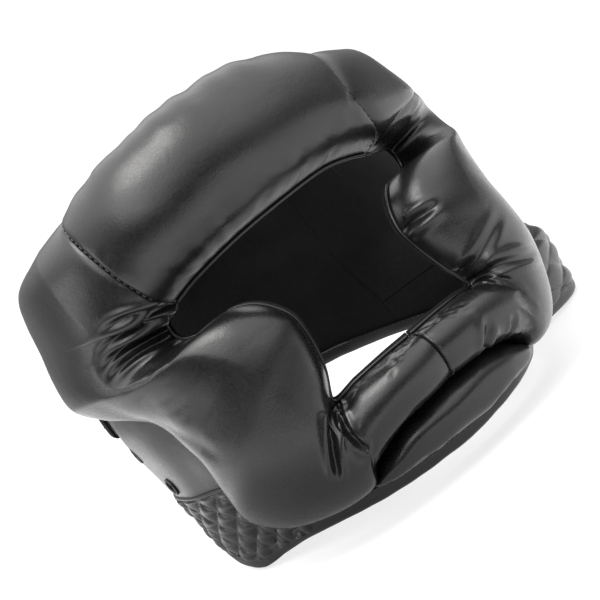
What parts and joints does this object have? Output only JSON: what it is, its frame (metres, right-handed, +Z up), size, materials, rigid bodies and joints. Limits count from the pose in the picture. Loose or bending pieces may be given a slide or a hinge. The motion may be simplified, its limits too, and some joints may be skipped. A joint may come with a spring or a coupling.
{
  "type": "boxing headgear",
  "caption": "Full-face padded boxing headgear with forehead, cheek, mouth-bar and chin pads, vented ear panels and hook-and-loop straps.",
  "frame": {"origin": "bottom centre of the bounding box, on the plane the lower rim stands on", "axes": "+X towards the wearer's left, -Y the way the face looks, +Z up through the crown"},
  "size_m": [0.2752, 0.2705, 0.2128],
  "materials": {
    "bottom_binding": "folded synthetic leather tape",
    "chin_cover": "semi-gloss synthetic leather",
    "chin_foam": "closed-cell foam, matt",
    "chin_lining": "knitted lining, matt",
    "closure_hook_patch": "hook-and-loop tape",
    "closure_loop_patch": "hook-and-loop tape",
    "closure_strap": "woven strap",
    "crown_front_strap": "woven strap",
    "crown_hook_patch": "hook-and-loop tape",
    "crown_loop_patch": "hook-and-loop tape",
    "crown_rear_strap": "woven strap",
    "forehead_cover": "semi-gloss synthetic leather",
    "forehead_foam": "closed-cell foam, matt",
    "forehead_lining": "knitted lining, matt",
    "left_ear_panel": "semi-gloss synthetic leather",
    "left_neck_panel": "semi-gloss synthetic leather",
    "left_side_cover": "semi-gloss synthetic leather",
    "left_side_foam": "closed-cell foam, matt",
    "left_side_lining": "knitted lining, matt",
    "mouth_bar_foam": "closed-cell foam, matt",
    "rear_cover": "semi-gloss synthetic leather",
    "rear_foam": "closed-cell foam, matt",
    "rear_lining": "knitted lining, matt",
    "right_ear_panel": "semi-gloss synthetic leather",
    "right_neck_panel": "semi-gloss synthetic leather",
    "right_side_cover": "semi-gloss synthetic leather",
    "right_side_foam": "closed-cell foam, matt",
    "right_side_lining": "knitted lining, matt"
  },
  "bodies": {
    "shell": {"bottom_binding": "bottom_binding", "chin_cover": "chin_cover", "chin_foam": "chin_foam", "chin_lining": "chin_lining", "closure_loop_patch": "closure_loop_patch", "crown_loop_patch": "crown_loop_patch", "crown_rear_strap": "crown_rear_strap", "forehead_cover": "forehead_cover", "forehead_foam": "forehead_foam", "forehead_lining": "forehead_lining", "left_ear_panel": "left_ear_panel", "left_neck_panel": "left_neck_panel", "left_side_cover": "left_side_cover", "left_side_foam": "left_side_foam", "left_side_lining": "left_side_lining", "mouth_bar_foam": "mouth_bar_foam", "rear_cover": "rear_cover", "rear_foam": "rear_foam", "rear_lining": "rear_lining", "right_ear_panel": "right_ear_panel", "right_neck_panel": "right_neck_panel", "right_side_cover": "right_side_cover", "right_side_foam": "right_side_foam", "right_side_lining": "right_side_lining"},
    "closure": {"closure_strap": "closure_strap", "closure_hook_patch": "closure_hook_patch"},
    "crown_flap": {"crown_front_strap": "crown_front_strap", "crown_hook_patch": "crown_hook_patch"}
  },
  "joints": [
    {"name": "closure_hinge", "type": "hinge", "parent": "shell", "child": "closure", "pos_m": [0.0723, 0.0716, 0.112], "axis": [0, 0, -1], "range_deg": [0, 70]},
    {"name": "crown_hinge", "type": "hinge", "parent": "shell", "child": "crown_flap", "pos_m": [-0.0184, -0.0578, 0.2016], "axis": [1, 0, 0], "range_deg": [0, 75]}
  ]
}
